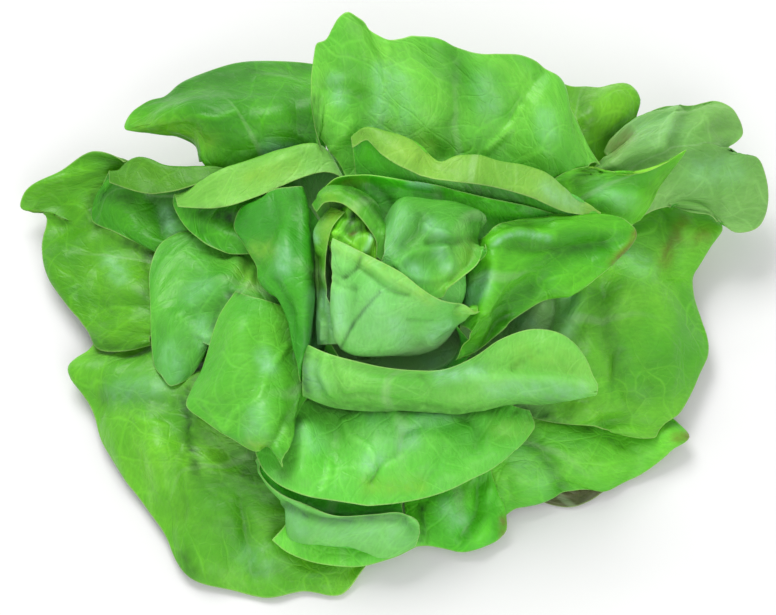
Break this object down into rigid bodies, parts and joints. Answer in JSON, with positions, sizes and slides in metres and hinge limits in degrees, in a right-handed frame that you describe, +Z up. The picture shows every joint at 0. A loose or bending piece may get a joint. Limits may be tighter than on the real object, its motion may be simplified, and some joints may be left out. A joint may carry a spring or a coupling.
{
  "type": "butterhead lettuce",
  "caption": "Opened head of butterhead lettuce: a pale heart in loose, waved green leaves that spread out from a short cut core.",
  "frame": {"origin": "middle of the core's flat cut face, on the surface that the head stands on", "axes": "+Z up through the heart, +X to the right of the head as the picture shows it, the direction in which it is widest, +Y to its back, where the tallest leaf stands"},
  "size_m": [0.308, 0.2198, 0.0907],
  "materials": {
    "outer_leaf": "thin saturated green leaf, waxy satin, blistered between fine pale veins; paler and duller underneath",
    "open_leaf": "thin fresh green leaf, waxy satin, soft blisters and a branching net of veins; paler underneath",
    "wrapper_leaf": "light green leaf with a pale satin outside and clear ribs",
    "heart_leaf": "pale yellow-green tender leaf, satin, slightly translucent",
    "withered_leaf": "limp brown-green leaf end",
    "core": "pale watery stem flesh, cut face slightly browned"
  },
  "bodies": {
    "root": {"core": "core", "withered_leaf": "withered_leaf", "outer_front_left": "outer_leaf", "low_back_left": "outer_leaf", "low_back_right": "outer_leaf", "outer_front_right": "outer_leaf", "outer_left": "outer_leaf", "outer_back_left": "outer_leaf", "outer_back_right": "outer_leaf", "outer_right_pale": "outer_leaf", "outer_right": "outer_leaf", "front_low": "outer_leaf", "front_under": "outer_leaf", "front_cupped": "open_leaf", "front_open": "open_leaf", "left_outer_rolled": "open_leaf", "left_inner_rolled": "open_leaf", "back_tall": "open_leaf", "right_back_fold": "open_leaf", "left_tongue": "open_leaf", "left_front_flap": "open_leaf", "left_inner": "open_leaf", "right_wrap": "open_leaf", "back_wrap": "wrapper_leaf", "front_wrap": "wrapper_leaf", "back_inner": "wrapper_leaf", "inner_cup": "wrapper_leaf", "heart_right": "heart_leaf", "heart_curl": "heart_leaf", "heart_left": "heart_leaf", "heart_inner": "heart_leaf", "heart_bud": "heart_leaf", "heart_front": "heart_leaf"}
  },
  "joints": []
}
